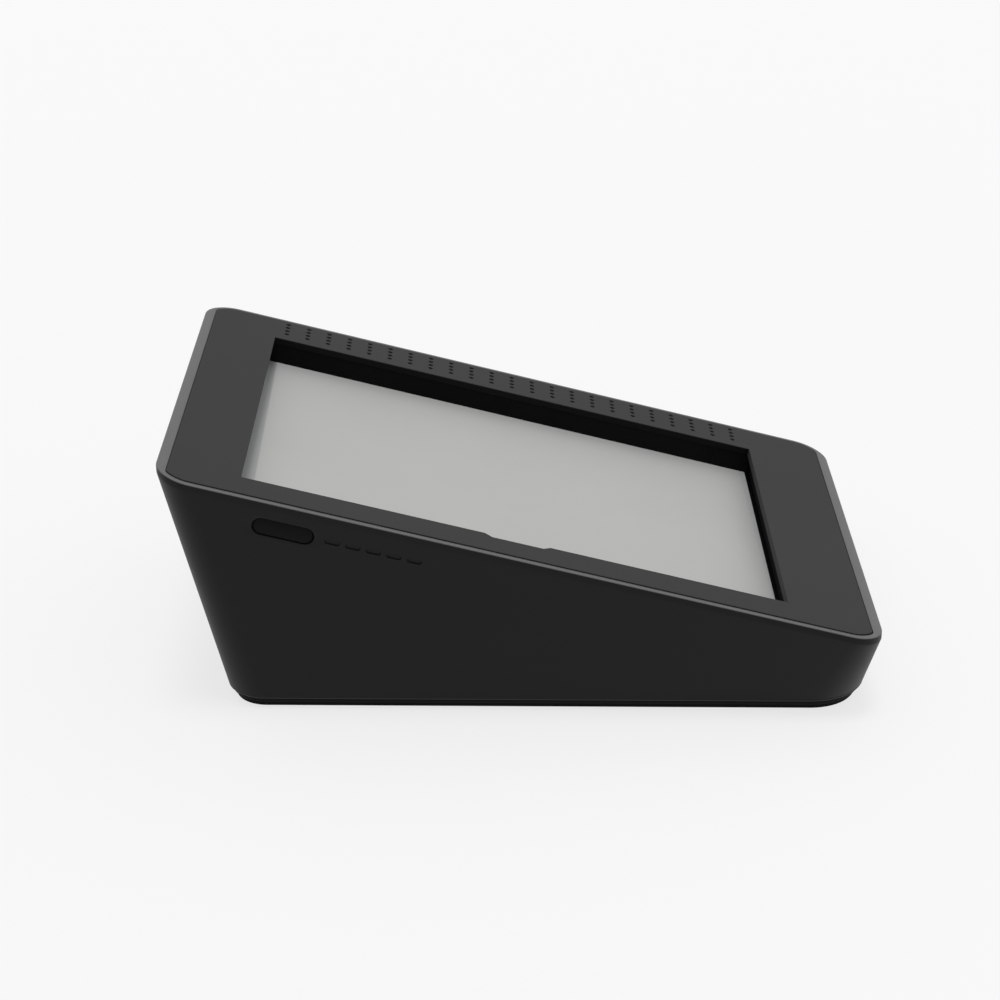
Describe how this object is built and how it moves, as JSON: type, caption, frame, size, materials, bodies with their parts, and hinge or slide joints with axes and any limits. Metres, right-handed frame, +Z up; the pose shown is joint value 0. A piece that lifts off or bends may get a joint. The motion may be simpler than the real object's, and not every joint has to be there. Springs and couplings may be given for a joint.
{
  "type": "countertop smart display",
  "caption": "Wedge-shaped countertop display: a recessed tablet-style screen under a flat charcoal faceplate with a perforated sound strip and a side button.",
  "frame": {"origin": "on the table, under the middle of the body's outer box", "axes": "+Z up, -Y towards the user (low edge), +Y towards the high back edge, +X to the user's right (the side with the sound holes)"},
  "size_m": [0.202, 0.2908, 0.1107],
  "materials": {
    "shell_plastic": "fine moulded grain, satin black",
    "base_steel": "black powder coat",
    "mat_rubber": "matt black rubber",
    "brass": "knurled brass",
    "screw_steel": "zinc plated",
    "faceplate_metal": "charcoal powder coat, fine satin texture",
    "acoustic_cloth": "black acoustic mesh",
    "foam_black": "closed-cell black foam",
    "plated_steel": "nickel plated",
    "screen_glass": "clear cover glass over a blank light grey picture",
    "black_ink": "black printed border",
    "panel_grey": "blank light grey picture",
    "housing_aluminium": "bead-blasted anodised",
    "cell_film": "black film",
    "circuit_board": "green solder mask",
    "black_plastic": "black moulded plastic",
    "tray_steel": "dark grey powder coat",
    "bracket_steel": "zinc plated sheet",
    "button_silicone": "soft-touch blue-black silicone"
  },
  "bodies": {
    "base": {"base_shell": "shell_plastic", "base_plate": "base_steel", "anti_slip_mat": "mat_rubber", "threaded_inserts": "brass", "base_screws": "screw_steel", "magnet_keepers": "plated_steel", "cover_glass": "screen_glass", "bezel_mask": "black_ink", "display_panel": "panel_grey", "unit_housing": "housing_aluminium", "battery_cells": "cell_film", "logic_board": "circuit_board", "unit_speakers": "black_plastic", "front_camera": "black_plastic", "charge_socket": "plated_steel", "unit_tray": "tray_steel", "tray_screws": "screw_steel", "foam_pads": "foam_black", "end_clips": "tray_steel", "clip_screws": "screw_steel", "low_bracket": "bracket_steel", "high_bracket": "bracket_steel", "bracket_screws": "screw_steel", "button_retainer": "tray_steel", "retainer_screws": "screw_steel", "cable_grommet": "mat_rubber", "cable_clips": "black_plastic", "clip_rivets": "plated_steel", "lock_slot_insert": "plated_steel"},
    "front_cover": {"faceplate": "faceplate_metal", "acoustic_mesh": "acoustic_cloth", "window_gasket": "foam_black", "faceplate_magnets": "plated_steel"},
    "side_button": {"side_button": "button_silicone"},
    "side_key": {"side_key": "housing_aluminium"},
    "end_key": {"end_key": "housing_aluminium"}
  },
  "joints": [
    {"name": "cover_lift", "type": "slide", "parent": "base", "child": "front_cover", "axis": [0, -0.247, 0.969], "range_m": [0, 0.06]},
    {"name": "side_button_press", "type": "slide", "parent": "base", "child": "side_button", "axis": [1, 0, 0], "range_m": [0, 0.001], "stiffness_N_per_m": 1500, "springref_m": -0.0003},
    {"name": "side_key_press", "type": "slide", "parent": "base", "child": "side_key", "axis": [1, 0, 0], "range_m": [0, 0.0003], "stiffness_N_per_m": 1000, "springref_m": -0.0001},
    {"name": "end_key_press", "type": "slide", "parent": "base", "child": "end_key", "axis": [0, -0.969, -0.247], "range_m": [0, 0.0003], "stiffness_N_per_m": 1000, "springref_m": -0.0003}
  ],
  "couplings": [
    {"joint": "side_key_press", "follows": "side_button_press", "ratio": 0.3}
  ]
}
